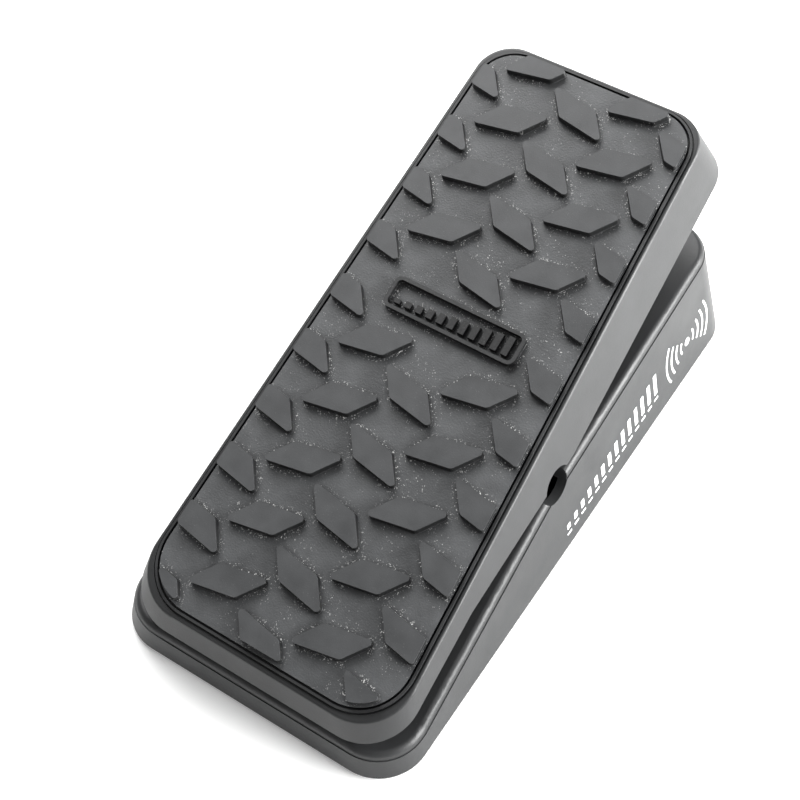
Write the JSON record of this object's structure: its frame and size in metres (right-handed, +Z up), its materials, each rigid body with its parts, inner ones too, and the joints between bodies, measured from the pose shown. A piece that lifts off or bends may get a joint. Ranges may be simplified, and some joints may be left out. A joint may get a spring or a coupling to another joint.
{
  "type": "volume pedal",
  "caption": "Rocking volume pedal: a treadle with a block-tread rubber mat pivots on a low wedge base with plug jacks at the toe end.",
  "frame": {"origin": "on the floor under the middle of the overall bounding box", "axes": "+X to the player's right, +Y from heel to toe, +Z up; rest is heel down"},
  "size_m": [0.1044, 0.203, 0.0887],
  "materials": {
    "casting_paint": "satin black powder coat",
    "plate_paint": "satin black",
    "black_steel": "black oxide",
    "foot_rubber": "matte",
    "mat_rubber": "matte, gritty between the blocks",
    "nylon": "moulded nylon",
    "can_steel": "plated",
    "plated_steel": "zinc plated",
    "bracket_steel": "zinc plated sheet",
    "band_steel": "polished spring steel",
    "jack_plastic": "moulded",
    "board": "solder mask",
    "brass_drum": "turned"
  },
  "bodies": {
    "base": {"base_casting": "casting_paint", "bottom_plate": "plate_paint", "plate_screws": "black_steel", "rubber_feet": "foot_rubber", "pivot_bushes": "nylon", "pot_body": "can_steel", "pot_nut": "plated_steel", "pot_washer": "plated_steel", "pot_bracket": "bracket_steel", "bracket_screws": "plated_steel", "output_jack": "jack_plastic", "aux_jack": "jack_plastic", "input_jack": "jack_plastic", "jack_nuts": "plated_steel", "jack_washers": "plated_steel", "circuit_board": "board", "board_screws": "plated_steel", "heel_bumpers": "foot_rubber", "toe_bumpers": "foot_rubber"},
    "treadle": {"treadle_casting": "casting_paint", "treadle_mat": "mat_rubber", "pivot_shaft": "black_steel", "shaft_grub_screws": "black_steel", "band_arm": "bracket_steel", "arm_screws": "plated_steel", "drive_band": "band_steel", "band_screws": "plated_steel"},
    "pot_rotor": {"pot_shaft": "can_steel", "drum": "brass_drum", "drum_band": "band_steel", "drum_grub_screw": "black_steel"}
  },
  "joints": [
    {"name": "treadle_pivot", "type": "hinge", "parent": "base", "child": "treadle", "pos_m": [0, -0.0089, 0.032], "axis": [-1, 0, 0], "range_deg": [0, 13]},
    {"name": "pot_spin", "type": "hinge", "parent": "base", "child": "pot_rotor", "pos_m": [0, 0.0523, 0.0234], "axis": [1, 0, 0], "range_deg": [0, 143.5]}
  ],
  "couplings": [
    {"joint": "pot_spin", "follows": "treadle_pivot", "ratio": 11}
  ]
}
